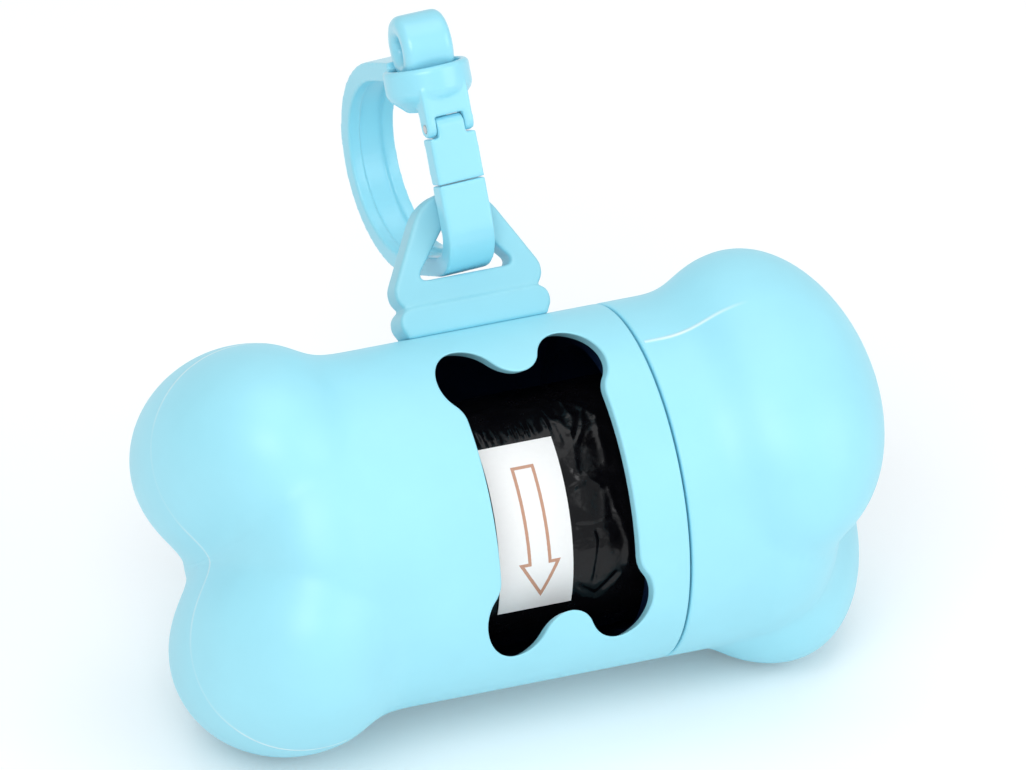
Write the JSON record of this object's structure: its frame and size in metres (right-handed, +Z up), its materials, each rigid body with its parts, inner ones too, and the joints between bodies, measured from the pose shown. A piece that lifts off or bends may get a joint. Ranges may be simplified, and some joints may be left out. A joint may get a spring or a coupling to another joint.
{
  "type": "pet waste bag dispenser",
  "caption": "Bone-shaped plastic dispenser for rolled pet waste bags, with a turned end cap, a bone-shaped window, a strap loop and a swivelling snap clip",
  "frame": {"origin": "on the floor under the middle of the bounding box", "axes": "+X along the tube towards the turning cap, -Y towards the window, +Z up; the dispenser is rolled 36.4 degrees back about X, as it rests on its end lobes in the picture"},
  "size_m": [0.078, 0.0616, 0.0678],
  "materials": {
    "shell_plastic": "glossy light cyan moulding",
    "clip_plastic": "smooth light cyan moulding, slightly darker",
    "bag_film": "glossy black wrinkled film",
    "label_paper": "smooth white paper",
    "core_card": "plain brown board",
    "steel": "bright drawn wire"
  },
  "bodies": {
    "body": {"body_shell": "shell_plastic", "strap_loop": "shell_plastic", "neck_insert": "shell_plastic"},
    "cap_carrier": {"cap_sleeve": "shell_plastic"},
    "cap": {"end_cap": "shell_plastic"},
    "roll": {"roll_core": "core_card", "bag_roll": "bag_film", "outer_bag": "bag_film", "roll_label": "label_paper"},
    "clip": {"clip_hook": "clip_plastic", "gate_pin": "steel"},
    "gate": {"clip_gate": "clip_plastic", "gate_spring": "steel"},
    "swivel": {"swivel_eye": "clip_plastic"}
  },
  "joints": [
    {"name": "cap_travel", "type": "slide", "parent": "body", "child": "cap_carrier", "axis": [1, 0, 0], "range_m": [0, 0.0075]},
    {"name": "cap_turn", "type": "hinge", "parent": "cap_carrier", "child": "cap", "pos_m": [0.0193, -0.00877, 0.02234], "axis": [1, 0, 0], "range_deg": [0, 900]},
    {"name": "roll_turn", "type": "hinge", "parent": "body", "child": "roll", "pos_m": [0, -0.00877, 0.02064], "axis": [1, 0, 0], "continuous": true},
    {"name": "clip_swing", "type": "hinge", "parent": "body", "child": "clip", "pos_m": [0, 0.00903, 0.04649], "axis": [1, 0, 0], "range_deg": [-8, 75]},
    {"name": "gate_swing", "type": "hinge", "parent": "clip", "child": "gate", "pos_m": [0.00003, 0.01057, 0.05809], "axis": [0.9939, 0.1088, -0.0173], "range_deg": [0, 45], "stiffness_Nm_per_rad": 0.0005},
    {"name": "swivel_turn", "type": "hinge", "parent": "clip", "child": "swivel", "pos_m": [-0.00038, 0.01459, 0.05937], "axis": [-0.0349, 0.4599, 0.8873], "continuous": true}
  ],
  "couplings": [
    {"joint": "cap_turn", "follows": "cap_travel", "rad_per_m": 2094.4}
  ]
}
